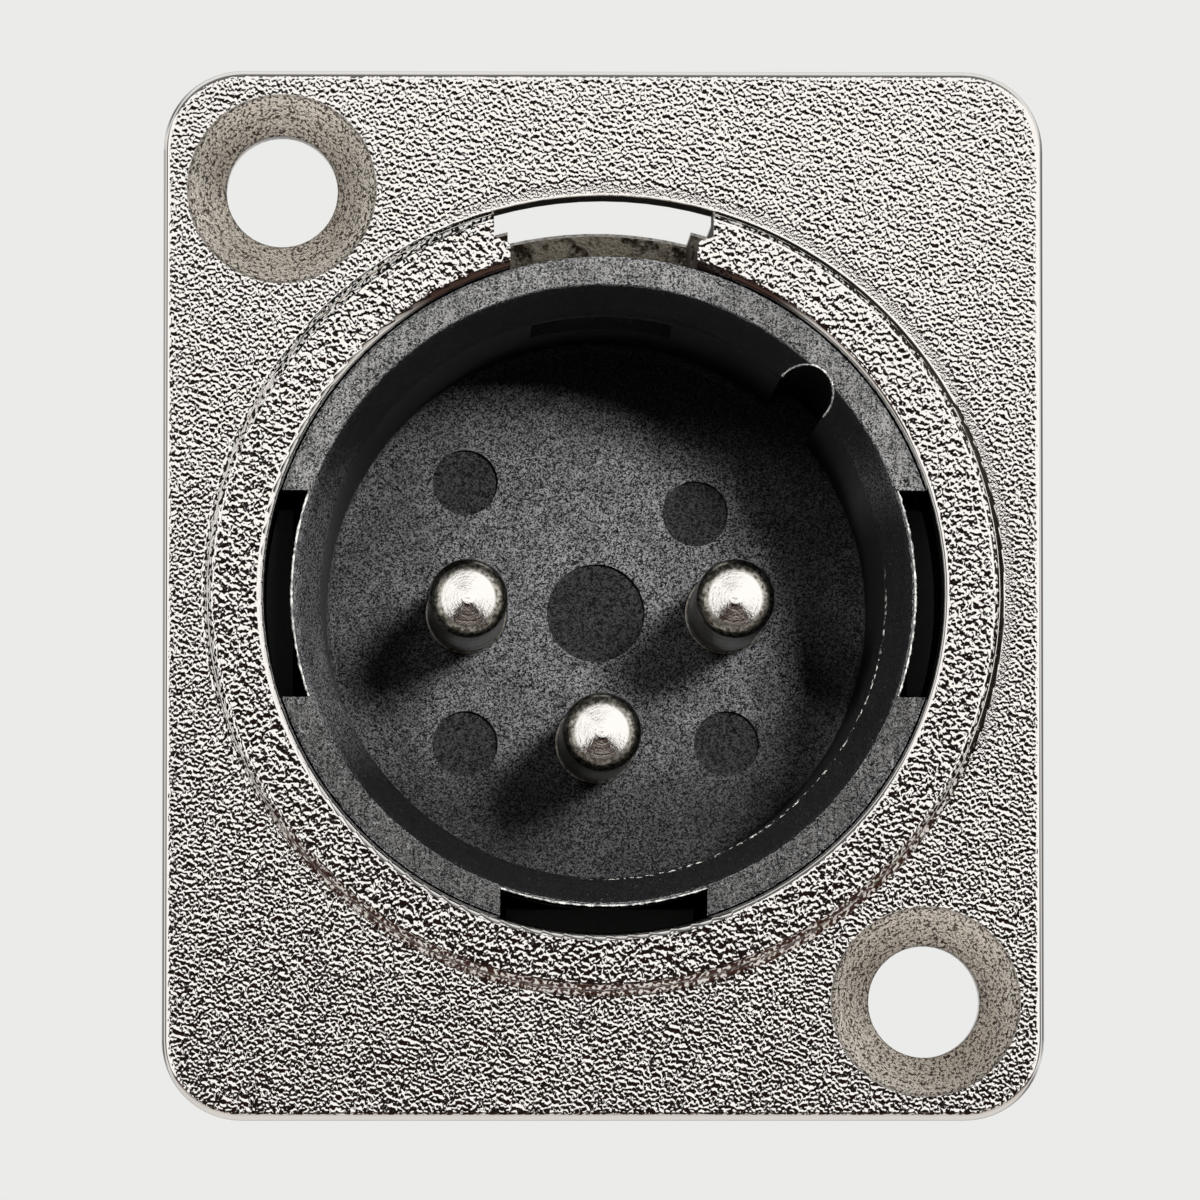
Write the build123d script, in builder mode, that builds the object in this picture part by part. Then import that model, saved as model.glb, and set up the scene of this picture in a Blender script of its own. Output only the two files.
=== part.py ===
"""A round three-pin audio receptacle for a panel, pin side, on a 26 x 31 mm flange.

A nickel-plated cast shell (flange, raised collar and barrel in one) holds a black moulded insert.
The insert is a cup: a liner tube with a front ring, a floor, and a rear flange that seats on the
barrel's end. Three lugs on the tube snap into windows of the barrel. Three turned contacts stand
in the floor and end behind it as solder cups. A stamped strip between tube and barrel takes the
shell out to a solder tab.

Millimetres. X is to the right and Z up, seen from the front. The front faces -Y. The origin is
on the bore's axis in the flange's rear face, which lies against the panel.
"""

from build123d import *
from math import cos, hypot, radians, sin, sqrt, tan
import os

# Bore for the plug, and the walls around it from the inside out
plug_bore_radius = 8.34
plug_bore_draft = 0.075
plug_bore_depth = 12.7
tube_wall = 0.86
ring_step = 0.75
ring_clearance = 0.05
barrel_wall = 1.6
collar_wall = 1.68

# Flange and collar of the shell
flange_side_margin = 1.32
flange_end_margin = 3.82
flange_thickness = 2.0
flange_corner_radius = 2.35
flange_edge_round = 0.25
collar_height = 0.9
collar_edge_round = 0.22
collar_foot_round = 0.2
bore_edge_round = 0.22

# Fixing holes, on one diagonal of the flange
fixing_hole_inset = 3.5
fixing_hole_radius = 1.65
countersink_radius = 2.8
countersink_angle = 90

# Barrel behind the flange
barrel_length = 13.5
barrel_end_chamfer = 0.4
bore_end_chamfer = 0.25

# Latch notch through collar and flange, and the slot behind it in the barrel
notch_overreach = 0.12
notch_outer_width = 6.48
notch_reach = 4.6
notch_shoulder = 0.48
notch_lip = 0.46
notch_corner_round = 0.16
notch_hook_round = 0.27
latch_slot_length = 9.2

# Tapered relief of the collar's bore edge, on both sides of the notch
relief_inset = 2.68
relief_reach = 0.32
relief_shift = 0.16
relief_fade = 0.5
relief_depth = 1.2

# Front ring and lead-in of the insert
ring_recess = 0.25
ring_thickness = 2.25
ring_edge_chamfer = 0.08
ring_slot_width = 6.1
ring_inner_land = 0.05
lead_in_length = 1.5
lead_in_round = 0.9
floor_corner_round = 0.3

# Keyway groove of the plug bore, and the rib outside the tube that backs it
keyway_turn = -45
keyway_radius = 0.85
keyway_depth = 0.9
rib_width = 2.8
rib_clearance = 0.15
rib_root = 0.4

# Window of the liner tube, behind the ring, that the plug's latch drops into
latch_turn = -90
latch_window_width = 4.2
latch_window_length = 4.6
latch_window_overcut = 0.5

# Snap lugs of the insert and the windows of the barrel that they sit in
lug_turns = (0, 90, 180)
lug_width = 5.6
lug_length = 3.0
lug_rear = 6.0
lug_catch = 0.5
lug_land = 0.6
lug_root = 0.06
lug_side_clearance = 0.35
lug_front_clearance = 0.4
lug_rear_clearance = 0.1
window_overcut = 0.4

# Rear of the insert
centring_length = 4.5
rear_flange_setback = 0.6
rear_flange_thickness = 1.5
rear_boss_margin = 1.48
rear_boss_height = 1.6
rear_boss_chamfer = 0.4
contact_boss_radius = 2.15
contact_boss_height = 0.6

# Round marks that the ejector pins left in the floor
mark_depth = 0.22
centre_mark_radius = 1.5
corner_mark_radius = 1.0
corner_mark_offset = 4.0
keyway_mark_offset = 3.05

# Contacts, on a circle about the bore's axis: left, right, bottom
contact_turns = (180, 0, 90)
contact_circle_radius = 3.97
contact_radius = 1.18
contact_tip_recess = 2.8
contact_tip_slope = 14.0
contact_tip_round = 0.42
seat_radius = 1.36
seat_clearance = 0.02
seat_recess = 0.1
seat_length = 2.3
shoulder_radius = 1.6
shoulder_length = 3.0
shoulder_clearance = 0.04
shoulder_chamfer = 0.2

# Solder cups of the contacts
cup_radius = 1.4
cup_bore_radius = 0.95
cup_bore_depth = 4.5
cup_length = 5.0
cup_mouth_length = 2.2
cup_mouth_height = 0.35
cup_end_chamfer = 0.12

# Ground strip between tube and barrel, and its solder tab
strip_turn = 135
strip_thickness = 0.35
strip_width = 2.8
strip_front = 1.5
strip_standoff = 0.12
strip_clearance = 0.05
bow_front = 4.4
bow_rise = 0.9
bow_crest = 1.6
bow_gap = 0.02
bow_bend_radius = 1.2
tab_width = 3.6
tab_length = 5.4
tab_hole_radius = 0.75
tab_hole_edge = 1.6
tab_corner_round = 1.0

# Radii that follow from the sizes above
tube_radius = plug_bore_radius + tube_wall
ring_radius = tube_radius + ring_step
bore_radius = ring_radius + ring_clearance
barrel_radius = bore_radius + barrel_wall
collar_radius = bore_radius + collar_wall
lead_in_radius = tube_radius - ring_inner_land
notch_outer_radius = max(collar_radius, barrel_radius) + notch_overreach
notch_step_radius = bore_radius + notch_lip
notch_inner_width = notch_outer_width - 2 * notch_shoulder
relief_radius = bore_radius - relief_inset
relief_rise = relief_inset + relief_reach
keyway_centre_radius = plug_bore_radius + keyway_depth - keyway_radius
rib_radius = ring_radius - rib_clearance
rib_root_radius = tube_radius - rib_root
lug_radius = bore_radius + lug_catch
lug_root_radius = sqrt(tube_radius ** 2 - (lug_width / 2) ** 2) - lug_root
window_outer_radius = barrel_radius + window_overcut
rear_flange_radius = barrel_radius - rear_flange_setback
rear_boss_radius = contact_circle_radius + contact_boss_radius + rear_boss_margin
strip_radius = tube_radius + strip_standoff
groove_radius = strip_radius - strip_clearance
strip_middle = strip_radius + strip_thickness / 2
bow_radius = sqrt((bore_radius - bow_gap) ** 2 - (strip_width / 2) ** 2)
bow_middle = bow_radius - strip_thickness / 2

# Flange and fixing holes that follow from the sizes above
flange_width = 2 * (collar_radius + flange_side_margin)
flange_height = 2 * (collar_radius + flange_end_margin)
fixing_x = flange_width / 2 - fixing_hole_inset
fixing_z = flange_height / 2 - fixing_hole_inset
fixing_places = [(-fixing_x, fixing_z), (fixing_x, -fixing_z)]

# Stations along Y that follow from the sizes above
flange_front = -flange_thickness
collar_front = flange_front - collar_height
ring_front = collar_front + ring_recess
ring_rear = ring_front + ring_thickness
lead_in_rear = ring_front + lead_in_length
plug_bore_floor = collar_front + plug_bore_depth
lug_front = lug_rear - lug_length
window_front = lug_front - lug_front_clearance
window_rear = lug_rear + lug_rear_clearance
barrel_rear = barrel_length
centring_front = barrel_rear - centring_length
rear_flange_rear = barrel_rear + rear_flange_thickness
rear_boss_rear = rear_flange_rear + rear_boss_height
contact_boss_rear = rear_boss_rear + contact_boss_height
contact_tip = collar_front + contact_tip_recess
seat_front = plug_bore_floor + seat_recess
shoulder_front = seat_front + seat_length
shoulder_rear = shoulder_front + shoulder_length
cup_rear = contact_boss_rear + cup_length
tab_front = rear_flange_rear + strip_clearance
tab_rear = tab_front + tab_length


def station(y):
    """The plane across the bore's axis at Y = y. Its x is X and its y is Z."""
    return Plane.XZ.offset(-y)


def outward(turn):
    """The direction out from the bore's axis, turned clockwise from +X as seen from the front."""
    return Vector(cos(radians(turn)), 0, -sin(radians(turn)))


def place_at(turn, radius):
    """The point of a station plane at this turn and radius."""
    direction = outward(turn)
    return (direction.X * radius, direction.Z * radius)


def axial_plane(turn):
    """The plane through the bore's axis with its x outward and its y to the rear."""
    return Plane(origin=(0, 0, 0), x_dir=outward(turn), z_dir=outward(turn).cross(Vector(0, 1, 0)))


def tangent_plane(turn, radius):
    """The plane that faces outward at this radius, with its y to the rear."""
    direction = outward(turn)
    return Plane(origin=direction * radius, x_dir=Vector(0, 1, 0).cross(direction), z_dir=direction)


def circles_at(part, radius, y):
    """The round edges about the bore's axis of this radius that lie in the plane Y = y."""
    return [
        edge
        for edge in part.edges().filter_by(GeomType.CIRCLE)
        if abs(edge.radius - radius) < 1e-4
        and abs(edge.center().Y - y) < 1e-4
        and hypot(edge.arc_center.X, edge.arc_center.Z) < 1e-4
    ]


def corner_at(sketch, x, y):
    """The corner of a profile nearest to x, y of its own plane."""
    return sketch.sketch_local.vertices().sort_by_distance((x, y, 0))[0]


def finish(part, name):
    """Labels a finished piece and writes its file."""
    part.label = name
    export_step(part, f"parts/{name}.step")


os.makedirs("parts", exist_ok=True)

contact_places = [place_at(turn, contact_circle_radius) for turn in contact_turns]
mark_places = [
    (-corner_mark_offset, corner_mark_offset),
    (-corner_mark_offset, -corner_mark_offset),
    (corner_mark_offset, -corner_mark_offset),
    (keyway_mark_offset, keyway_mark_offset),
]


# Shell: flange, collar and barrel, cast in one piece
with BuildPart() as shell:
    with BuildSketch(station(flange_front)):
        RectangleRounded(flange_width, flange_height, flange_corner_radius)
    extrude(amount=-flange_thickness)
    front_rim = shell.faces().sort_by(Axis.Y)[0].outer_wire().edges()
    fillet(front_rim, flange_edge_round)

    with BuildSketch(station(collar_front)):
        Circle(collar_radius)
    extrude(amount=-collar_height)
    fillet(circles_at(shell, collar_radius, collar_front), collar_edge_round)
    fillet(circles_at(shell, collar_radius, flange_front), collar_foot_round)

    with BuildSketch(station(0)):
        Circle(barrel_radius)
    extrude(amount=-barrel_length)
    chamfer(circles_at(shell, barrel_radius, barrel_rear), barrel_end_chamfer)

    with BuildSketch(station(collar_front)):
        Circle(bore_radius)
    extrude(amount=-(barrel_rear - collar_front), mode=Mode.SUBTRACT)
    fillet(circles_at(shell, bore_radius, collar_front), bore_edge_round)
    chamfer(circles_at(shell, bore_radius, barrel_rear), bore_end_chamfer)

    with BuildSketch(station(collar_front)):
        with Locations((relief_shift, relief_rise)):
            Circle(relief_radius)
    with BuildSketch(station(collar_front + relief_depth)):
        with Locations((relief_shift, relief_rise)):
            Circle(relief_radius - relief_fade)
    loft(mode=Mode.SUBTRACT)

    with Locations(station(flange_front)):
        with Locations(*fixing_places):
            CounterSinkHole(
                fixing_hole_radius,
                countersink_radius,
                depth=flange_thickness,
                counter_sink_angle=countersink_angle,
            )

    # The notch is stepped: wide outside, narrower where it opens into the bore.
    with BuildSketch(station(collar_front)) as notch:
        with Locations((0, (tube_radius + notch_step_radius) / 2)):
            Rectangle(notch_inner_width, notch_step_radius - tube_radius)
        with Locations((0, (notch_step_radius + notch_outer_radius) / 2)):
            Rectangle(notch_outer_width, notch_outer_radius - notch_step_radius)
        for width, size in (
            (notch_inner_width, notch_hook_round),
            (notch_outer_width, notch_corner_round),
        ):
            fillet([corner_at(notch, side * width / 2, notch_step_radius) for side in (-1, 1)], size)
        Circle(notch_outer_radius, mode=Mode.INTERSECT)
    extrude(amount=-(collar_height + flange_thickness + notch_reach), mode=Mode.SUBTRACT)

    with BuildSketch(station(0)):
        with Locations((0, (tube_radius + window_outer_radius) / 2)):
            Rectangle(notch_inner_width, window_outer_radius - tube_radius)
    extrude(amount=-latch_slot_length, mode=Mode.SUBTRACT)

    for turn in lug_turns:
        with BuildSketch(axial_plane(turn)):
            with Locations(((tube_radius + window_outer_radius) / 2, (window_front + window_rear) / 2)):
                Rectangle(window_outer_radius - tube_radius, window_rear - window_front)
        extrude(amount=lug_width / 2 + lug_side_clearance, both=True, mode=Mode.SUBTRACT)

finish(shell.part, "shell")


# Insert: the moulded cup that lines the shell and carries the contacts
with BuildPart() as insert:
    with BuildSketch(Plane.XY) as section:
        with BuildLine():
            Polyline(
                (0, plug_bore_floor),
                (plug_bore_radius - plug_bore_draft, plug_bore_floor),
                (plug_bore_radius, lead_in_rear),
                (lead_in_radius, ring_front),
                (ring_radius, ring_front),
                (ring_radius, ring_rear),
                (tube_radius, ring_rear),
                (tube_radius, centring_front),
                (ring_radius, centring_front),
                (ring_radius, barrel_rear),
                (rear_flange_radius, barrel_rear),
                (rear_flange_radius, rear_flange_rear),
                (rear_boss_radius, rear_flange_rear),
                (rear_boss_radius, rear_boss_rear),
                (0, rear_boss_rear),
                close=True,
            )
        make_face()
        fillet(corner_at(section, plug_bore_radius - plug_bore_draft, plug_bore_floor), floor_corner_round)
        fillet(corner_at(section, plug_bore_radius, lead_in_rear), lead_in_round)
        chamfer(corner_at(section, ring_radius, ring_front), ring_edge_chamfer)
        chamfer(corner_at(section, rear_boss_radius, rear_boss_rear), rear_boss_chamfer)
    revolve(axis=Axis.Y)

    # The mould reaches each lug through a slot of the front ring.
    for turn in lug_turns:
        with BuildSketch(station(ring_front)):
            with Locations(Location(place_at(turn, tube_radius), -turn)):
                Rectangle(2 * (bore_radius - tube_radius), ring_slot_width)
            Circle(tube_radius, mode=Mode.SUBTRACT)
        extrude(amount=-ring_thickness, mode=Mode.SUBTRACT)

    with BuildSketch(axial_plane(keyway_turn)):
        with Locations(((rib_root_radius + rib_radius) / 2, (ring_rear + centring_front) / 2)):
            Rectangle(rib_radius - rib_root_radius, centring_front - ring_rear)
    extrude(amount=rib_width / 2, both=True)

    with BuildSketch(station(ring_front)):
        with Locations(place_at(keyway_turn, keyway_centre_radius)):
            Circle(keyway_radius)
    extrude(amount=-(plug_bore_floor - ring_front), mode=Mode.SUBTRACT)

    with BuildSketch(station(ring_rear)):
        with Locations(place_at(latch_turn, (plug_bore_radius + ring_radius) / 2)):
            Rectangle(latch_window_width, ring_radius - plug_bore_radius + 2 * latch_window_overcut)
    extrude(amount=-latch_window_length, mode=Mode.SUBTRACT)

    for turn in lug_turns:
        with BuildSketch(axial_plane(turn)):
            with BuildLine():
                Polyline(
                    (lug_root_radius, lug_front),
                    (tube_radius, lug_front),
                    (lug_radius, lug_rear - lug_land),
                    (lug_radius, lug_rear),
                    (lug_root_radius, lug_rear),
                    close=True,
                )
            make_face()
        extrude(amount=lug_width / 2, both=True)

    with BuildSketch(station(plug_bore_floor)):
        Circle(centre_mark_radius)
        with Locations(*mark_places):
            Circle(corner_mark_radius)
    extrude(amount=-mark_depth, mode=Mode.SUBTRACT)

    with BuildSketch(station(rear_boss_rear)):
        with Locations(*contact_places):
            Circle(contact_boss_radius)
    extrude(amount=-contact_boss_height)

    with BuildSketch(station(plug_bore_floor)):
        with Locations(*contact_places):
            Circle(seat_radius + seat_clearance)
    extrude(amount=-(contact_boss_rear - plug_bore_floor), mode=Mode.SUBTRACT)

    with BuildSketch(station(shoulder_front)):
        with Locations(*contact_places):
            Circle(shoulder_radius + shoulder_clearance)
    extrude(amount=-(contact_boss_rear - shoulder_front), mode=Mode.SUBTRACT)

    # The strip lies in an open groove of the centring band and in a slot of the rear flange.
    for outer, front, rear in (
        (bore_radius, centring_front, barrel_rear),
        (strip_radius + strip_thickness + strip_clearance, centring_front, rear_flange_rear),
    ):
        with BuildSketch(axial_plane(strip_turn)):
            with Locations(((groove_radius + outer) / 2, (front + rear) / 2)):
                Rectangle(outer - groove_radius, rear - front)
        extrude(amount=strip_width / 2 + strip_clearance, both=True, mode=Mode.SUBTRACT)

finish(insert.part, "insert")


# Contacts: turned pins with a shoulder in the floor and a solder cup behind
for number, turn in enumerate(contact_turns, start=1):
    x, z = place_at(turn, contact_circle_radius)
    tip_fall = contact_radius * tan(radians(contact_tip_slope))
    with BuildPart() as contact:
        with BuildSketch(Plane(origin=(x, 0, z))) as profile:
            with BuildLine():
                Polyline(
                    (0, contact_tip),
                    (contact_radius, contact_tip + tip_fall),
                    (contact_radius, seat_front),
                    (seat_radius, seat_front),
                    (seat_radius, shoulder_front),
                    (shoulder_radius, shoulder_front),
                    (shoulder_radius, shoulder_rear),
                    (cup_radius, shoulder_rear),
                    (cup_radius, cup_rear),
                    (cup_bore_radius, cup_rear),
                    (cup_bore_radius, cup_rear - cup_bore_depth),
                    (0, cup_rear - cup_bore_depth),
                    close=True,
                )
            make_face()
            fillet(corner_at(profile, contact_radius, contact_tip + tip_fall), contact_tip_round)
            chamfer(corner_at(profile, shoulder_radius, shoulder_rear), shoulder_chamfer)
            chamfer(corner_at(profile, cup_radius, cup_rear), cup_end_chamfer)
        revolve(axis=Axis((x, 0, z), (0, 1, 0)))

        # The cup's mouth is open on the side away from the bore's axis.
        with BuildSketch(tangent_plane(turn, contact_circle_radius + cup_mouth_height)):
            with Locations((0, cup_rear - cup_mouth_length / 2)):
                Rectangle(2 * cup_radius, cup_mouth_length)
        extrude(amount=cup_radius, mode=Mode.SUBTRACT)

    finish(contact.part, f"contact_{number}")


# Ground strip: stamped sheet, bowed to press on the barrel's bore, with a solder tab behind
with BuildPart() as ground_strip:
    bow_rear = bow_front + 2 * bow_rise + bow_crest
    with BuildSketch(axial_plane(strip_turn)):
        with BuildLine():
            FilletPolyline(
                (strip_middle, strip_front),
                (strip_middle, bow_front),
                (bow_middle, bow_front + bow_rise),
                (bow_middle, bow_rear - bow_rise),
                (strip_middle, bow_rear),
                (strip_middle, tab_front),
                radius=bow_bend_radius,
            )
        trace(line_width=strip_thickness)
    extrude(amount=strip_width / 2, both=True)

    with BuildSketch(tangent_plane(strip_turn, strip_radius)) as tab:
        with Locations((0, (tab_front + tab_rear) / 2)):
            Rectangle(tab_width, tab_length)
        rear_corners = tab.vertices().group_by(Axis.Y)[-1]
        fillet(rear_corners, tab_corner_round)
        with Locations((0, tab_rear - tab_hole_edge)):
            Circle(tab_hole_radius, mode=Mode.SUBTRACT)
    extrude(amount=strip_thickness)

finish(ground_strip.part, "ground_strip")
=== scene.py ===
"""Materials, light and camera for the panel receptacle. Lengths are in mm unless a comment says metres."""
import bmesh
import bpy
from math import cos, hypot, radians, sin
from random import Random
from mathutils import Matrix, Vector


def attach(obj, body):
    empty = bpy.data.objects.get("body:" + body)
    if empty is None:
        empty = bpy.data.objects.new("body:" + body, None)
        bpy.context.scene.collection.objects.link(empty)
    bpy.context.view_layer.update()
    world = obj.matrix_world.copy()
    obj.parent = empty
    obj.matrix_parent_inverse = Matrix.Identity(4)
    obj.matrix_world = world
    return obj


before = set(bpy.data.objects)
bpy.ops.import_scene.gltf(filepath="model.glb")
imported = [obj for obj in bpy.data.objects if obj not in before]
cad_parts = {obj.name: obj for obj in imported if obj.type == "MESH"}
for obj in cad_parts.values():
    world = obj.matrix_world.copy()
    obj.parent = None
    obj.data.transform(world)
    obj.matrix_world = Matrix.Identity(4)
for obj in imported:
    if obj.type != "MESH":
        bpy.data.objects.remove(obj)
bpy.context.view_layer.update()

MM = 0.001

# Places on the part, as its source has them
FIXING_HOLES = ((-9.5, 12.0), (9.5, -12.0))
FIXING_HOLE_RADIUS = 1.65
COUNTERSINK_RADIUS = 2.8
COLLAR_RADIUS = 11.68
COLLAR_FRONT = -2.9
FLANGE_FRONT = -2.0
FLANGE_REAR = 0.0
BARREL_REAR = 13.5
NOTCH_STEP_RADIUS = 10.46
RING_FRONT = -2.65
TUBE_RADIUS = 9.2
PLUG_BORE_FLOOR = 9.8
MARK_DEPTH = 0.22
PLUG_BORE_RADIUS = 8.34
CONTACT_CIRCLE = 3.97
LEAD_IN_RADIUS = 9.15
LEAD_IN_LENGTH = 1.5
LEAD_IN_REAR = RING_FRONT + LEAD_IN_LENGTH
KEYWAY_MIDDLE = (5.93, 5.93)
KEYWAY_RADIUS = 0.85

# Limits for the materials: just outside the notch's sides, and just inside the barrel's surface
SLOT_HALF_WIDTH = 3.3
INSIDE_BARREL = 11.5

# Relief: the casting's grain with its stretch and its slant in degrees, its slot walls, the moulding, and the
# tool rings and scratches on the contacts and the strip
GRAIN_DEPTH = 0.022
GRAIN_STRETCH = (1.1, 1, 0.9)
GRAIN_SLANT = 18
LEE_SLANT = 30
CAST_DEPTH = 0.10
MOULDING_DEPTH = 0.03
TOOL_DEPTH = 0.005
SCRATCH_DEPTH = 0.008
STRIP_DEPTH = 0.004

# Roughness, 0 for a mirror and 1 for matt
PLATE_ROUGH = 0.06
SINK_ROUGH = 0.22
SATIN_ROUGH = (0.16, 0.34)
CAST_ROUGH = 0.5
MOULDING_ROUGH = 0.5
SLOT_ROUGH = 0.9
SILVER_ROUGH = 0.13
SHAFT_ROUGH = 0.3
TIN_ROUGH = 0.3
FLASH_ROUGH = 0.4
FLOOR_ROUGH = 0.9

# Colours of the nickel plate, its cast slot walls, its countersinks and its dark edges
PLATE = (0.90, 0.875, 0.85)
CAST_DARK = (0.05, 0.036, 0.025)
CAST_PALE = (0.46, 0.42, 0.34)
# Painted shade on the slot walls' sideways faces
CAST_SIDE_SHADE = (0.11, 0.095, 0.08)
SINK_DARK = (0.07, 0.055, 0.042)
SINK_PALE = (1.0, 0.94, 0.86)
# Painted shade along the countersinks' rims
SINK_RIM_SHADE = (0.08, 0.07, 0.06)
SPECK = (0.03, 0.025, 0.02)
# Painted dark reflection at the collar's lower foot
FOOT_REFLECTION = (0.07, 0.028, 0.02)
NOTCH_BROWN = (0.075, 0.045, 0.036)
# Painted shade inside the barrel
INSIDE_SHADE = (0.015, 0.013, 0.012)

# Colours of the black moulding and its flash
GRAIN_DARK = (0.003, 0.003, 0.004)
GRAIN_PALE = (0.26, 0.26, 0.264)
RING_DARK = (0.004, 0.004, 0.004)
RING_PALE = (0.215, 0.212, 0.207)
# Painted shade: the ring's front darkened towards the bottom
RING_LOWER_SHADE = (0.005, 0.005, 0.005)
MARK_DARK = (0.002, 0.002, 0.002)
MARK_PALE = (0.048, 0.048, 0.049)
CLOUD_DARK = (0.01, 0.01, 0.01)
# Painted shade for the bore: near its walls and low on its floor
BORE_SHADE = (0.006, 0.006, 0.006)
# Painted shade on the lead-in and the bore's wall
LEAD_IN_SHADE = (0.004, 0.004, 0.004)
# Painted shade: near-black inside the ring's slots
SLOT_SHADE = (0.003, 0.003, 0.003)
# Painted highlight on the lead-in's inner edge
EDGE_HIGHLIGHT = (0.62, 0.60, 0.56)
FLASH_DARK = (0.10, 0.10, 0.10)
# Painted highlight: the flash's pale colour
FLASH_HIGHLIGHT = (0.50, 0.49, 0.47)

# Colours of the contacts and the spring strip
SILVER = (0.96, 0.94, 0.91)
# Painted shade for the contacts' front shafts, mottled
SHAFT_SHADE_DARK = (0.09, 0.082, 0.066)
SHAFT_SHADE_PALE = (0.58, 0.56, 0.50)
TIN = (0.72, 0.71, 0.69)

# The flash: its section as (outwards, forwards) from its line, then its line along the ring's slots and round
# the keyway's mouth, with the points in each, how ragged it is, its seeds, and half its turn in degrees
FLASH_SECTION = ((-0.03, -0.06), (-0.012, 0.03), (0.03, 0.035), (0.045, -0.06))
RING_FLASH_RADIUS = 9.175
RING_FLASH_HALF_TURN = 19.2
RING_FLASH_POINTS = 90
RING_FLASH_RAGGED = 0.45
RING_FLASH_SEED = 200
KEYWAY_FLASH_HALF_TURN = 92
KEYWAY_FLASH_POINTS = 60
KEYWAY_FLASH_RAGGED = 0.5
KEYWAY_FLASH_SEED = 7

# The lips round the contacts
LIP_SECTION = ((-0.10, -0.095), (-0.10, -0.05), (-0.06, 0.004), (0.045, 0.0), (0.045, -0.095))
LIP_RADIUS = 1.34
LIP_POINTS = 72

# The photograph's view: where the camera stands, what it looks at and how much it takes in
CAMERA_MM = (-6.1, -312.0, -15.0)
TARGET_MM = (-0.10, -2.0, -0.16)
FRAME_WIDTH_MM = 35.4
SENSOR_MM = 36.0
NEAREST_MM = 10.0

# The room that the part reflects: from straight down (0) to straight up (1)
BACKDROP = (0.831, 0.831, 0.815)
ROOM = (
    (0.0, (0.75, 0.73, 0.70)),
    (0.12, (0.55, 0.52, 0.48)),
    (0.19, (0.06, 0.040, 0.032)),
    (0.28, (0.022, 0.010, 0.008)),
    (0.48, (0.008, 0.005, 0.004)),
    (0.53, (0.03, 0.027, 0.025)),
    (0.72, (0.08, 0.078, 0.075)),
    (1.0, (0.16, 0.16, 0.16)),
)
# A bright window in front: its middle as a direction, and how far it reaches along X, Y and Z
WINDOW_PLACE = (0.56, -1.0, 0.326)
WINDOW_REACH = (0.95, 2.0, 0.32)
WINDOW_BLUR = 0.035
WINDOW_COLOUR = (1.06, 1.045, 1.025)
# Two bright panels beside it, as directions: how far from the middle they start and end, their height, and
# where they end towards the back
PANEL_REACH = (0.30, 0.80)
PANEL_HEIGHT = (-0.36, 0.42)
PANEL_BLUR = 0.06
PANEL_REAR = (-0.3, -0.4)
# Two dim cards behind the part, one up and one down: the direction across them, how far along it they
# stand, where each starts to fade and where it ends, their colour, and where they start towards the back
CARD_SLOPE = (0.25, 0.0, 0.97)
CARD_HEIGHT = 0.28
CARD_EDGE = (0.02, 0.34)
CARD_COLOUR = (0.15, 0.15, 0.155)
CARD_FRONT = (0.0, 0.2)
# Where the room in front gives way to the pale one behind: towards the back, and up from the bottom
REAR_START = (-0.45, -0.1)
REAR_BOTTOM = (-0.95, -0.25)
# How much of the room's light reaches matt surfaces
MATT_SHARE = 0.13

# The lights, in metres and watts: how far away they are, and each one's name, direction (right and up, in
# degrees), width, height and power
LIGHT_DISTANCE = 0.6
LIGHTS = (
    ("key", (15, 11), 0.09, 0.08, 5.4),
    ("fill", (-14, 16), 0.09, 0.08, 0.5),
    ("side_left", (-50, 22), 0.12, 0.12, 3.4),
    ("side_right", (46, 30), 0.12, 0.12, 0.9),
    ("rear_right", (150, 35), 0.4, 0.4, 3.2),
    ("rear_left", (-150, 30), 0.4, 0.4, 2.4),
)

# The floor's half width and its height in metres, and how strongly it glows in the backdrop's colour
FLOOR_REACH = 3.0
FLOOR_HEIGHT = -0.06
FLOOR_COLOUR = (0.06, 0.06, 0.059)
FLOOR_GLOW = 0.86


class Nodes:
    """Makes the nodes of a material or of the room. An input is a number, a colour or a node's output."""

    def __init__(self, tree):
        self.tree = tree
        tree.nodes.clear()

    def node(self, kind, settings=(), **inputs):
        made = self.tree.nodes.new(kind)
        for name, value in dict(settings).items():
            setattr(made, name, value)
        for name, value in inputs.items():
            self.feed(made.inputs[name.replace("_", " ")], value)
        return made

    def feed(self, socket, value):
        if isinstance(value, bpy.types.NodeSocket):
            self.tree.links.new(value, socket)
        else:
            socket.default_value = value

    def feed_all(self, sockets, values):
        for socket, value in zip(sockets, values):
            self.feed(socket, value)

    def vector(self, operation, *values, output="Vector", **inputs):
        made = self.node("ShaderNodeVectorMath", {"operation": operation}, **inputs)
        self.feed_all(made.inputs, values)
        return made.outputs[output]

    def math(self, operation, *values):
        made = self.node("ShaderNodeMath", {"operation": operation})
        self.feed_all(made.inputs, values)
        return made.outputs["Value"]

    def product(self, first, *others):
        for other in others:
            first = self.math("MULTIPLY", first, other)
        return first

    def step(self, value, start, end, low=0.0, high=1.0):
        """A smooth change from low to high as the value goes from start to end."""
        made = self.node("ShaderNodeMapRange", {"interpolation_type": "SMOOTHSTEP"}, Value=value)
        ends = {"From Min": start, "From Max": end, "To Min": low, "To Max": high}
        for name, number in ends.items():
            self.feed(made.inputs[name], number)
        return made.outputs["Result"]

    def band(self, value, start, end, blur):
        """1 where the value lies between start and end."""
        return self.product(self.step(value, start - blur, start + blur),
                            self.step(value, end + blur, end - blur))

    def blend(self, share, first, second):
        """The first colour at share 0 and the second at share 1."""
        made = self.node("ShaderNodeMix", {"data_type": "RGBA"}, Factor=share)
        for socket, value in zip(made.inputs[6:8], (first, second)):
            self.feed(socket, value if isinstance(value, bpy.types.NodeSocket) else (*value, 1.0))
        return made.outputs[2]

    def mix(self, share, first, second):
        """The first number at share 0 and the second at share 1."""
        made = self.node("ShaderNodeMix", {"data_type": "FLOAT"}, Factor=share)
        self.feed_all(made.inputs[2:4], (first, second))
        return made.outputs["Result"]


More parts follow.
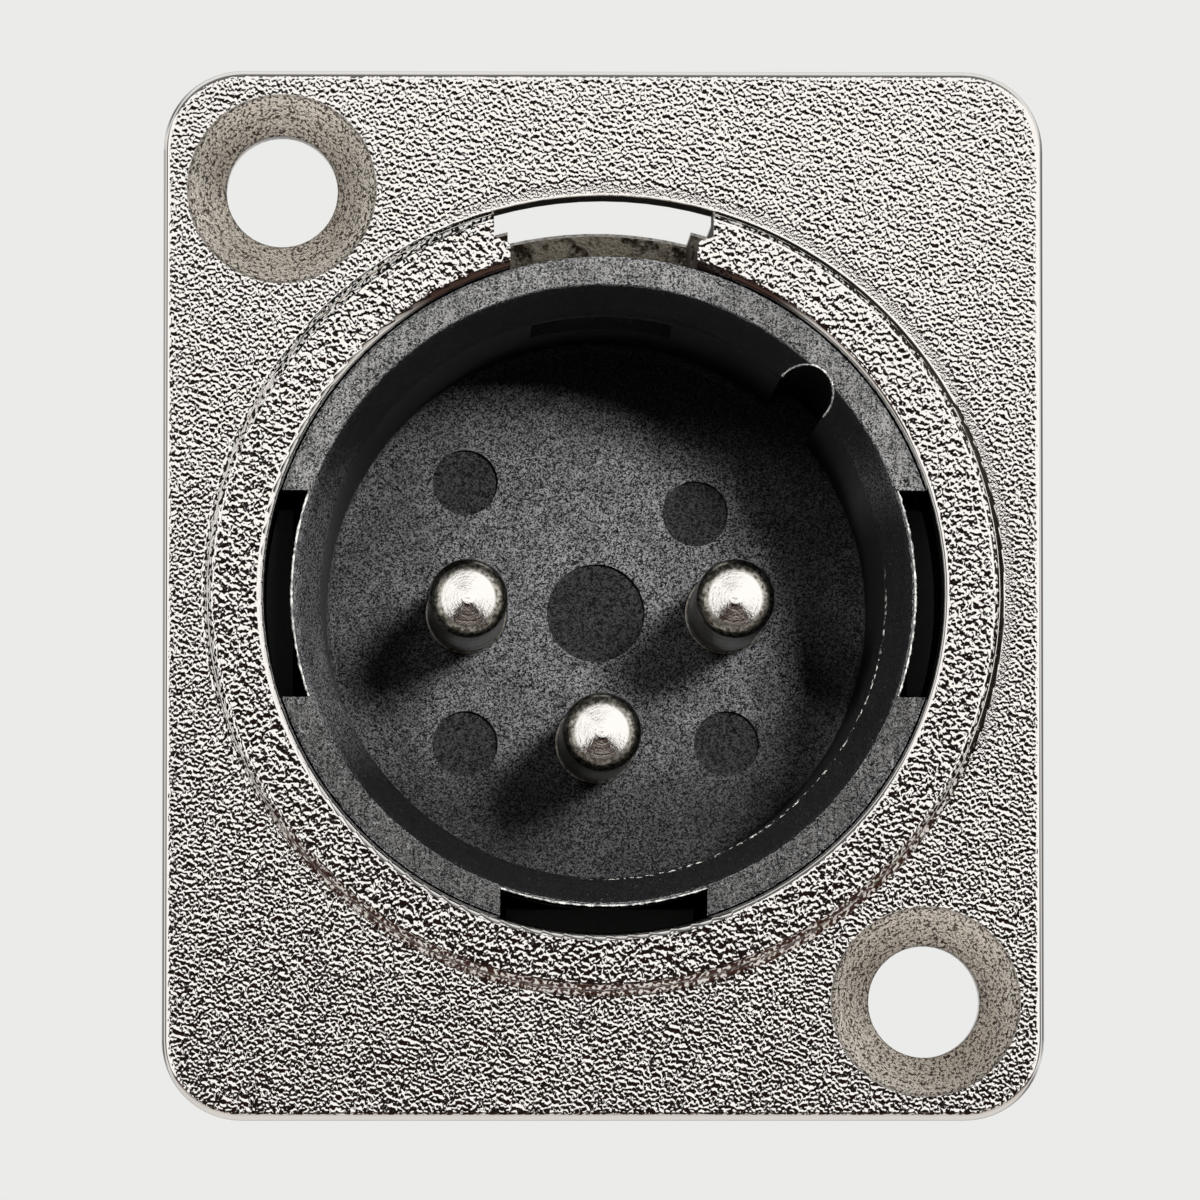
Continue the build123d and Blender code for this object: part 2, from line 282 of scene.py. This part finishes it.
class Shader(Nodes):
    """A material's nodes, with x, y, z and radius in mm of the part's own frame."""

    def __init__(self, name):
        self.material = bpy.data.materials.new(name)
        self.material.use_nodes = True
        super().__init__(self.material.node_tree)
        self.surface = self.node("ShaderNodeBsdfPrincipled")
        self.node("ShaderNodeOutputMaterial", Surface=self.surface.outputs["BSDF"])
        place = self.node("ShaderNodeTexCoord")
        self.place = self.vector("SCALE", place.outputs["Object"], Scale=1 / MM)
        self.x, self.y, self.z = self.node("ShaderNodeSeparateXYZ", Vector=self.place).outputs
        self.radius = self.distance(0, 0)
        normal = self.node("ShaderNodeSeparateXYZ", Vector=place.outputs["Normal"])
        self.facing = self.math("ABSOLUTE", normal.outputs["Y"])

    def distance(self, x, z):
        """The distance in mm from the line along Y through x, z."""
        across = self.math("SUBTRACT", self.x, x)
        up = self.math("SUBTRACT", self.z, z)
        return self.math("SQRT", self.math("ADD", self.math("MULTIPLY", across, across),
                                           self.math("MULTIPLY", up, up)))

    def noise(self, scale, detail=2.0, roughness=0.5, distortion=0.0, stretch=(1, 1, 1), slant=0.0):
        """A noise with this many grains to the mm, stretched along X, Y and Z, slanted down to the right."""
        turned = self.node("ShaderNodeVectorRotate", {"rotation_type": "Y_AXIS"}, Vector=self.place,
                           Angle=radians(-slant))
        place = self.vector("MULTIPLY", turned.outputs["Vector"], stretch)
        made = self.node("ShaderNodeTexNoise", Vector=place, Scale=scale, Detail=detail,
                         Roughness=roughness, Distortion=distortion)
        return made.outputs["Fac"]

    def cells(self, scale):
        """A random number for each cell of a mosaic with about this many cells to the mm."""
        made = self.node("ShaderNodeTexVoronoi", Vector=self.place, Scale=scale)
        return self.node("ShaderNodeSeparateColor", Color=made.outputs["Color"]).outputs["Red"]

    def bump(self, height, depth_mm, below=None, strength=1.0):
        """Relief of this depth, over the relief below it."""
        made = self.node("ShaderNodeBump", Height=height, Distance=depth_mm * MM, Strength=strength)
        if below is not None:
            self.feed(made.inputs["Normal"], below)
        return made.outputs["Normal"]

    def set(self, **inputs):
        for name, value in inputs.items():
            self.feed(self.surface.inputs[name.replace("_", " ")], value)


def nickel():
    """Bright nickel plate on a grained casting: coarse on the collar, finest in its lee, satin behind."""
    s = Shader("nickel_plate")
    # Zones: 1 inside each and 0 outside it
    on_collar = s.product(s.step(s.radius, COLLAR_RADIUS + 0.15, COLLAR_RADIUS),
                          s.step(s.y, COLLAR_FRONT + 0.75, COLLAR_FRONT + 0.6))
    sinks = [s.distance(*hole) for hole in FIXING_HOLES]
    from_hole = s.math("MINIMUM", *sinks)
    in_sink = s.product(s.step(from_hole, COUNTERSINK_RADIUS + 0.04, COUNTERSINK_RADIUS - 0.04),
                        s.step(s.y, FLANGE_REAR - 0.3, FLANGE_REAR - 0.5))
    upper_right = s.math("ADD", s.x, s.z)
    in_lee = s.product(s.band(s.radius, COLLAR_RADIUS, COLLAR_RADIUS + 0.5, 0.25),
                       s.step(upper_right, 3.0, 9.0))
    wall_reach = [s.step(s.y, FLANGE_REAR - 0.1, FLANGE_REAR, COLLAR_RADIUS + collar, INSIDE_BARREL + barrel)
                  for collar, barrel in ((0.15, 0.03), (0.12, 0.0))]
    slot_walls = s.product(s.band(s.x, -SLOT_HALF_WIDTH, SLOT_HALF_WIDTH, 0.02),
                           s.step(s.z, 9.0, 9.1), s.step(s.y, COLLAR_FRONT + 0.15, COLLAR_FRONT + 0.3),
                           s.step(s.radius, *wall_reach), s.step(s.y, BARREL_REAR - 0.6, BARREL_REAR - 0.8))
    # Painted shade: the nickel inside the barrel painted near-black, and made rough
    deep_shade = s.product(s.step(s.radius, INSIDE_BARREL - 0.15, INSIDE_BARREL - 0.25),
                     s.step(s.y, FLANGE_FRONT + 0.1, FLANGE_FRONT + 0.3),
                     s.step(s.y, BARREL_REAR - 0.3, BARREL_REAR - 0.5),
                     s.math("SUBTRACT", 1.0, slot_walls), s.math("SUBTRACT", 1.0, in_sink))
    beside_notch = s.product(s.step(s.z, 7.6, 8.8),
                             s.step(s.radius, NOTCH_STEP_RADIUS, NOTCH_STEP_RADIUS - 0.1),
                             s.step(s.facing, 0.99, 0.96), s.step(s.y, FLANGE_REAR, FLANGE_REAR - 0.5))

    # Relief, strongest on the faces seen from the front, and the satin behind
    flange_grain = s.noise(9.5, 0.0, 0.5, 0.35, GRAIN_STRETCH, slant=GRAIN_SLANT)
    lee_grain = s.noise(14.0, 1.0, 0.5, 0.2, GRAIN_STRETCH, slant=LEE_SLANT)
    collar_grain = s.noise(8.4, 0.0, 0.5, 0.4, GRAIN_STRETCH, slant=GRAIN_SLANT)
    sink_grain = s.noise(12.0, 2.0, 0.6)
    grain = s.mix(in_lee, s.mix(on_collar, flange_grain, collar_grain), s.product(lee_grain, 0.5))
    grain = s.mix(in_sink, grain, sink_grain)
    near_collar = s.product(s.band(s.radius, COLLAR_RADIUS - 0.5, COLLAR_RADIUS + 0.4, 0.05),
                            s.step(s.y, FLANGE_FRONT + 0.5, FLANGE_FRONT + 0.1))
    behind = s.step(s.y, FLANGE_REAR - 0.6, FLANGE_REAR - 0.4)
    on_face = s.mix(s.math("MAXIMUM", near_collar, in_sink),
                    s.step(s.facing, 0.90, 0.985), s.step(s.facing, 0.3, 0.6))
    on_face = s.mix(behind, on_face, 0.6)
    satin = s.mix(s.noise(0.35, 3.0, 0.6), *SATIN_ROUGH)

    # Colour, zone over zone
    patches = s.noise(1.9, 3.0, 0.65)
    cast_colour = s.blend(s.step(patches, 0.36, 0.52), CAST_DARK, CAST_PALE)
    # Painted shade: the slot walls darker where they face sideways
    cast_colour = s.blend(s.step(s.facing, 0.6, 0.3), cast_colour, CAST_SIDE_SHADE)
    tool_rings = s.node("ShaderNodeCombineXYZ", X=from_hole).outputs["Vector"]
    rings = s.node("ShaderNodeTexNoise", Vector=tool_rings, Scale=9.0, Detail=2.0).outputs["Fac"]
    speckle = s.math("ADD", s.product(sink_grain, 0.78), s.product(rings, 0.22))
    sink_colour = s.blend(s.step(speckle, 0.40, 0.53), SINK_DARK, SINK_PALE)
    # Painted shade: dark lines at the countersinks' outer rims and at the holes' edges
    sink_rim_shade = s.math("MAXIMUM",
                      s.band(from_hole, COUNTERSINK_RADIUS - 0.07, COUNTERSINK_RADIUS + 0.01, 0.03),
                      s.band(from_hole, FIXING_HOLE_RADIUS - 0.2, FIXING_HOLE_RADIUS + 0.04, 0.03))
    sink_colour = s.blend(s.product(sink_rim_shade, 0.45), sink_colour, SINK_RIM_SHADE)
    colour = s.blend(in_sink, PLATE, sink_colour)
    edge_specks = s.product(near_collar, s.band(s.facing, 0.45, 0.96, 0.02), s.step(grain, 0.50, 0.44))
    colour = s.blend(edge_specks, colour, SPECK)
    # Painted dark reflection: grained brown along the lower part of the collar's foot
    foot_reflection = s.product(s.band(s.radius, COLLAR_RADIUS - 0.24, COLLAR_RADIUS + 0.22, 0.03),
                           s.step(s.y, FLANGE_FRONT + 0.3, FLANGE_FRONT + 0.1), s.step(s.z, -4.0, -8.5),
                           s.step(s.facing, 0.985, 0.95), s.step(grain, 0.62, 0.50), 0.85)
    colour = s.blend(foot_reflection, colour, FOOT_REFLECTION)
    colour = s.blend(slot_walls, colour, cast_colour)
    colour = s.blend(beside_notch, colour, NOTCH_BROWN)
    colour = s.blend(deep_shade, colour, INSIDE_SHADE)
    s.set(Base_Color=colour, Metallic=1.0)
    s.set(Roughness=s.mix(s.math("MAXIMUM", slot_walls, deep_shade),
                          s.mix(behind, s.mix(in_sink, PLATE_ROUGH, SINK_ROUGH), satin), CAST_ROUGH))
    cast = s.bump(s.noise(9.0, 3.0, 0.7), CAST_DEPTH, strength=slot_walls)
    s.set(Normal=s.bump(grain, GRAIN_DEPTH, below=cast, strength=on_face))
    return s.material


def black_plastic():
    """Black glass-filled moulding: fine grain, streaks on the ring, mottled ejector marks, painted shade on
    the ring's lower part, the lead-in, the bore and the slots, and a painted highlight on the lead-in's edge.
    """
    s = Shader("black_plastic")
    speckle = s.math("ADD", s.product(s.cells(26.0), 0.6), s.product(s.noise(9.0, 3, 0.7), 0.4))
    cloud = s.noise(0.9, 3, 0.6)
    streaks = s.noise(8.0, 2, 0.7, 0.0, (1, 1, 0.09))
    ragged = s.math("ADD", s.y, s.product(s.noise(4.5, 2, 0.6), 0.16))
    on_ring = s.step(ragged, RING_FRONT + 0.12, RING_FRONT + 0.09)
    in_mark = s.product(s.step(s.y, PLUG_BORE_FLOOR + 0.5 * MARK_DEPTH, PLUG_BORE_FLOOR + 0.8 * MARK_DEPTH),
                        s.step(s.radius, PLUG_BORE_RADIUS, PLUG_BORE_RADIUS - 0.1))
    in_slot = s.product(s.step(s.radius, TUBE_RADIUS - 0.25, TUBE_RADIUS - 0.15),
                        s.step(s.y, RING_FRONT + 0.25, RING_FRONT + 0.6),
                        s.step(s.y, BARREL_REAR - 0.1, BARREL_REAR - 0.3))
    light = s.blend(s.step(speckle, 0.28, 0.84), GRAIN_DARK, GRAIN_PALE)
    dragged = s.math("ADD", s.product(speckle, 0.62), s.product(streaks, 0.38))
    ring = s.blend(s.step(dragged, 0.31, 0.70), RING_DARK, RING_PALE)
    mottled = s.math("ADD", s.product(speckle, 0.5), s.product(s.noise(6.0, 3, 0.75), 0.5))
    mark = s.blend(s.step(mottled, 0.34, 0.72), MARK_DARK, MARK_PALE)
    # Painted shade: the ring's front darker towards the bottom
    ring = s.blend(s.product(s.step(s.z, 2.0, -5.0), 0.5), ring, RING_LOWER_SHADE)
    colour = s.blend(on_ring, light, ring)
    colour = s.blend(s.step(cloud, 0.35, 0.65), s.blend(0.3, colour, CLOUD_DARK), colour)
    # Painted shade: the bore darker towards its walls
    wall_shade = s.product(s.step(s.radius, 3.5, 7.8), s.step(s.y, RING_FRONT + 0.1, RING_FRONT + 0.4), 0.5)
    colour = s.blend(wall_shade, colour, BORE_SHADE)
    # Painted shade: the lead-in and the bore's wall darkened all round except on the left, with a few specks
    # left
    sideways = s.math("SUBTRACT", s.product(s.x, 0.5), s.z)
    shaded_sides = s.math("MAXIMUM", s.step(s.z, 1.0, 5.0), s.step(sideways, -1.0, 2.5))
    shaded_lead_in = s.product(s.step(ragged, RING_FRONT + 0.14, RING_FRONT + 0.18), shaded_sides,
                         s.step(s.y, PLUG_BORE_FLOOR - 0.1, PLUG_BORE_FLOOR - 0.3),
                         s.step(speckle, 0.92, 0.80),
                         s.step(s.radius, LEAD_IN_RADIUS, LEAD_IN_RADIUS - 0.05), 0.94)
    colour = s.blend(shaded_lead_in, colour, LEAD_IN_SHADE)
    # Painted highlight: a pale dotted line along the lead-in's inner edge at the lower right
    edge_highlight = s.product(s.band(s.radius, PLUG_BORE_RADIUS - 0.02, PLUG_BORE_RADIUS + 0.06, 0.01),
                       s.band(s.y, LEAD_IN_REAR - 0.12, LEAD_IN_REAR + 0.05, 0.02),
                       s.step(s.math("SUBTRACT", s.x, s.z), 7.0, 10.0),
                       s.step(s.noise(6.0, 2, 0.6), 0.53, 0.59))
    colour = s.blend(edge_highlight, colour, EDGE_HIGHLIGHT)
    # Painted shade: the bore's floor darker towards the bottom
    lower = s.product(s.step(s.z, -2.0, -6.5), s.step(s.y, PLUG_BORE_FLOOR - 0.2, PLUG_BORE_FLOOR - 0.1),
                      s.step(s.radius, PLUG_BORE_RADIUS + 0.1, PLUG_BORE_RADIUS), 0.4)
    colour = s.blend(lower, colour, BORE_SHADE)
    colour = s.blend(in_mark, colour, mark)
    # Painted shade: the slots behind the ring painted near-black
    colour = s.blend(in_slot, colour, SLOT_SHADE)
    s.set(Base_Color=colour, Roughness=s.mix(in_slot, MOULDING_ROUGH, SLOT_ROUGH), Specular_IOR_Level=0.12)
    s.set(Normal=s.bump(s.noise(17.0, 2, 0.7), MOULDING_DEPTH))
    return s.material


def silver():
    """Turned and silver-plated contacts, with tool rings round each one's own axis and their front shafts
    painted dark and mottled as painted shade.
    """
    s = Shader("silver_plate")
    from_axis = s.math("MINIMUM", s.distance(0, -CONTACT_CIRCLE),
                       s.math("MINIMUM", s.distance(-CONTACT_CIRCLE, 0), s.distance(CONTACT_CIRCLE, 0)))
    rings = s.node("ShaderNodeCombineXYZ", X=from_axis, Y=s.product(s.y, 0.05)).outputs["Vector"]
    turned = s.node("ShaderNodeTexNoise", Vector=rings, Scale=16.0, Detail=3.0, Roughness=0.6).outputs["Fac"]
    scratches = s.noise(7.0, 3, 0.65, 0.8)
    # Painted shade: the front shafts painted dark, mottled with the tool rings and a noise
    on_shaft = s.product(s.step(from_axis, 0.76, 0.86),
                         s.step(s.y, PLUG_BORE_FLOOR + 0.3, PLUG_BORE_FLOOR + 0.2))
    shaft_shade_mottle = s.math("ADD", s.product(turned, 0.5), s.product(s.noise(8.0, 2, 0.6), 0.5))
    shaft = s.blend(s.step(shaft_shade_mottle, 0.42, 0.60), SHAFT_SHADE_DARK, SHAFT_SHADE_PALE)
    s.set(Base_Color=s.blend(on_shaft, SILVER, shaft), Metallic=1.0)
    s.set(Roughness=s.mix(on_shaft, SILVER_ROUGH, SHAFT_ROUGH))
    s.set(Normal=s.bump(turned, TOOL_DEPTH, below=s.bump(scratches, SCRATCH_DEPTH)))
    return s.material


def tin():
    """Tinned spring strip."""
    s = Shader("tin_plate")
    s.set(Base_Color=(*TIN, 1), Metallic=1.0, Roughness=TIN_ROUGH)
    s.set(Normal=s.bump(s.noise(7.0, 3, 0.6), STRIP_DEPTH))
    return s.material


def flash_plastic():
    """Thin flash at a parting edge, coloured paler than the moulding as a painted highlight."""
    s = Shader("flash_plastic")
    # Painted highlight: the real flash coloured paler than the moulding
    s.set(Base_Color=s.blend(s.step(s.noise(8.0, 2, 0.6), 0.35, 0.65), FLASH_DARK, FLASH_HIGHLIGHT))
    s.set(Roughness=FLASH_ROUGH)
    return s.material


def sweep(name, points, section, material, closed=False, seed=1, ragged=0.0):
    """A piece swept along points in mm, with a section of (outwards, forwards) pairs about each point."""
    draw = Random(seed)
    centre = sum((Vector(point) for point in points), Vector()) / len(points)
    corners = []
    for number, point in enumerate(points):
        last = len(points) - 1
        before = points[number - 1 if number or closed else 0]
        after = points[(number + 1) % len(points) if number < last or closed else last]
        along = (Vector(after) - Vector(before)).normalized()
        outwards = along.cross(Vector((0, 1, 0))).normalized()
        if outwards.dot(Vector(point) - centre) < 0:
            outwards.negate()
        grown = 1 + ragged * (2 * draw.random() - 1)
        corners += [(Vector(point) + outwards * out * grown - Vector((0, 1, 0)) * fore * grown) * MM
                    for out, fore in section]
    wide = len(section)
    faces = [(row * wide + k, row * wide + (k + 1) % wide,
              (row + 1) % len(points) * wide + (k + 1) % wide, (row + 1) % len(points) * wide + k)
             for row in range(len(points) if closed else len(points) - 1) for k in range(wide)]
    if not closed:
        faces += [tuple(range(wide)), tuple(range(len(corners) - wide, len(corners)))[::-1]]
    mesh = bpy.data.meshes.new(name)
    mesh.from_pydata(corners, [], faces)
    shape = bmesh.new()
    shape.from_mesh(mesh)
    bmesh.ops.recalc_face_normals(shape, faces=shape.faces)
    shape.to_mesh(mesh)
    shape.free()
    mesh.materials.append(material)
    piece = bpy.data.objects.new(name, mesh)
    bpy.context.scene.collection.objects.link(piece)
    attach(piece, "root")


def arc(x, z, radius, start, end, count):
    """Points of an arc seen from the front, angles in degrees from +X towards +Z."""
    angles = [radians(start + (end - start) * number / (count - 1)) for number in range(count)]
    return [(x + radius * cos(angle), z + radius * sin(angle)) for angle in angles]


def flash_lips(material):
    """The bright beaded flash along the ring's slots and round the keyway's mouth."""
    for name, middle in (("right", 0), ("bottom", -90), ("left", 180)):
        rim = arc(0, 0, RING_FLASH_RADIUS, middle - RING_FLASH_HALF_TURN, middle + RING_FLASH_HALF_TURN,
                  RING_FLASH_POINTS)
        points = [(x, RING_FRONT, z) for x, z in rim]
        sweep(f"flash_{name}", points, FLASH_SECTION, material, seed=middle + RING_FLASH_SEED,
              ragged=RING_FLASH_RAGGED)
    mouth = []
    for x, z in arc(*KEYWAY_MIDDLE, KEYWAY_RADIUS, 45 - KEYWAY_FLASH_HALF_TURN, 45 + KEYWAY_FLASH_HALF_TURN,
                    KEYWAY_FLASH_POINTS):
        inwards = max(0.0, LEAD_IN_RADIUS - hypot(x, z))
        mouth.append((x, RING_FRONT + inwards * LEAD_IN_LENGTH / (LEAD_IN_RADIUS - PLUG_BORE_RADIUS), z))
    sweep("flash_keyway", mouth, FLASH_SECTION, material, seed=KEYWAY_FLASH_SEED, ragged=KEYWAY_FLASH_RAGGED)


def contact_lips(material):
    """The edge where the moulding closes round each contact, at the bore's floor."""
    places = ((-CONTACT_CIRCLE, 0), (0, -CONTACT_CIRCLE), (CONTACT_CIRCLE, 0))
    for number, (x, z) in enumerate(places, start=1):
        circle = arc(x, z, LIP_RADIUS, 0, 360 - 360 / LIP_POINTS, LIP_POINTS)
        ring = [(a, PLUG_BORE_FLOOR, b) for a, b in circle]
        sweep(f"contact_lip_{number}", ring, LIP_SECTION, material, closed=True)


def dress(node, material):
    """Gives a CAD node this material."""
    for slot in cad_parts[node].material_slots:
        slot.material = material


def soft_light(name, direction, width, height, power):
    """A soft light that the part doesn't reflect."""
    right, up = (radians(angle) for angle in direction)
    data = bpy.data.lights.new(name, "AREA")
    data.shape = "RECTANGLE"
    data.size = width
    data.size_y = height
    data.energy = power
    light = bpy.data.objects.new(name, data)
    light.visible_glossy = False
    light.location = Vector((sin(right) * cos(up), -cos(right) * cos(up), sin(up))) * LIGHT_DISTANCE
    light.rotation_euler = light.location.to_track_quat("Z", "Y").to_euler()
    bpy.context.scene.collection.objects.link(light)


def surroundings():
    """A pale room to the camera. The part reflects a dim one, with a bright window and panels in front."""
    world = bpy.data.worlds.new("studio")
    bpy.context.scene.world = world
    world.use_nodes = True
    w = Nodes(world.node_tree)
    direction = w.node("ShaderNodeTexCoord").outputs["Generated"]
    right, back, up = w.node("ShaderNodeSeparateXYZ", Vector=direction).outputs

    ramp = w.node("ShaderNodeValToRGB", Fac=w.step(up, -1.0, 1.0))
    elements = ramp.color_ramp.elements
    for element in list(elements)[1:]:
        elements.remove(element)
    for number, (height, colour) in enumerate(ROOM):
        element = elements[0] if number == 0 else elements.new(height)
        element.position = height
        element.color = (*colour, 1)

    from_window = w.vector("SUBTRACT", direction, WINDOW_PLACE)
    from_window = w.vector("LENGTH", w.vector("DIVIDE", from_window, WINDOW_REACH), output="Value")
    window = w.step(from_window, 1.0 + WINDOW_BLUR, 1.0 - WINDOW_BLUR)
    away = w.math("ABSOLUTE", right)
    panel = w.product(w.step(away, PANEL_REACH[0], PANEL_REACH[0] + PANEL_BLUR),
                      w.step(away, PANEL_REACH[1] + PANEL_BLUR, PANEL_REACH[1]),
                      w.step(up, PANEL_HEIGHT[0], PANEL_HEIGHT[0] + PANEL_BLUR),
                      w.step(up, PANEL_HEIGHT[1] + PANEL_BLUR, PANEL_HEIGHT[1]),
                      w.step(back, *PANEL_REAR))
    front = w.blend(w.math("MAXIMUM", window, panel), ramp.outputs["Color"], WINDOW_COLOUR)

    across = w.math("ABSOLUTE", w.vector("DOT_PRODUCT", direction, CARD_SLOPE, output="Value"))
    from_card = w.math("ABSOLUTE", w.math("SUBTRACT", across, CARD_HEIGHT))
    cards = w.product(w.step(back, *CARD_FRONT), w.step(from_card, CARD_EDGE[1], CARD_EDGE[0]))
    behind = w.product(w.step(back, *REAR_START), w.step(up, *REAR_BOTTOM))
    room = w.blend(behind, front, w.blend(cards, BACKDROP, CARD_COLOUR))

    ray = w.node("ShaderNodeLightPath")
    strength = w.step(ray.outputs["Is Diffuse Ray"], 0.0, 1.0, 1.0, MATT_SHARE)
    felt = w.node("ShaderNodeBackground", Color=room, Strength=strength)
    seen = w.node("ShaderNodeBackground", Color=(*BACKDROP, 1))
    either = w.node("ShaderNodeMixShader", Fac=ray.outputs["Is Camera Ray"])
    w.feed_all(either.inputs[1:3], (felt.outputs["Background"], seen.outputs["Background"]))
    w.node("ShaderNodeOutputWorld", Surface=either.outputs["Shader"])


def floor():
    """A plain floor well below the part, pale by its own glow. The part doesn't reflect it."""
    corners = [(x * FLOOR_REACH, y * FLOOR_REACH, FLOOR_HEIGHT)
               for x, y in ((-1, -1), (1, -1), (1, 1), (-1, 1))]
    mesh = bpy.data.meshes.new("floor")
    mesh.from_pydata(corners, [], [(0, 1, 2, 3)])
    material = bpy.data.materials.new("floor_paper")
    material.use_nodes = True
    paper = material.node_tree.nodes["Principled BSDF"].inputs
    paper["Base Color"].default_value = (*FLOOR_COLOUR, 1)
    paper["Roughness"].default_value = FLOOR_ROUGH
    paper["Specular IOR Level"].default_value = 0.0
    paper["Emission Color"].default_value = (*BACKDROP, 1)
    paper["Emission Strength"].default_value = FLOOR_GLOW
    mesh.materials.append(material)
    plane = bpy.data.objects.new("floor", mesh)
    plane.visible_glossy = False
    plane.visible_diffuse = False
    bpy.context.scene.collection.objects.link(plane)


def camera():
    """The photograph's viewpoint: in front, a little to the left and below, looking slightly up."""
    place = Vector(CAMERA_MM) * MM
    target = Vector(TARGET_MM) * MM
    data = bpy.data.cameras.new("camera")
    data.sensor_width = SENSOR_MM
    data.lens = SENSOR_MM * (target - place).length / (FRAME_WIDTH_MM * MM)
    data.clip_start = NEAREST_MM * MM
    made = bpy.data.objects.new("camera", data)
    made.location = place
    made.rotation_euler = (target - place).to_track_quat("-Z", "Y").to_euler()
    bpy.context.scene.collection.objects.link(made)
    bpy.context.scene.camera = made


bpy.context.scene.view_settings.view_transform = "Standard"
surroundings()
for light in LIGHTS:
    soft_light(*light)
floor()
camera()

dress("shell", nickel())
moulding = black_plastic()
dress("insert", moulding)
flash_lips(flash_plastic())
contact_lips(moulding)
silver_plate = silver()
for number in (1, 2, 3):
    dress(f"contact_{number}", silver_plate)
dress("ground_strip", tin())
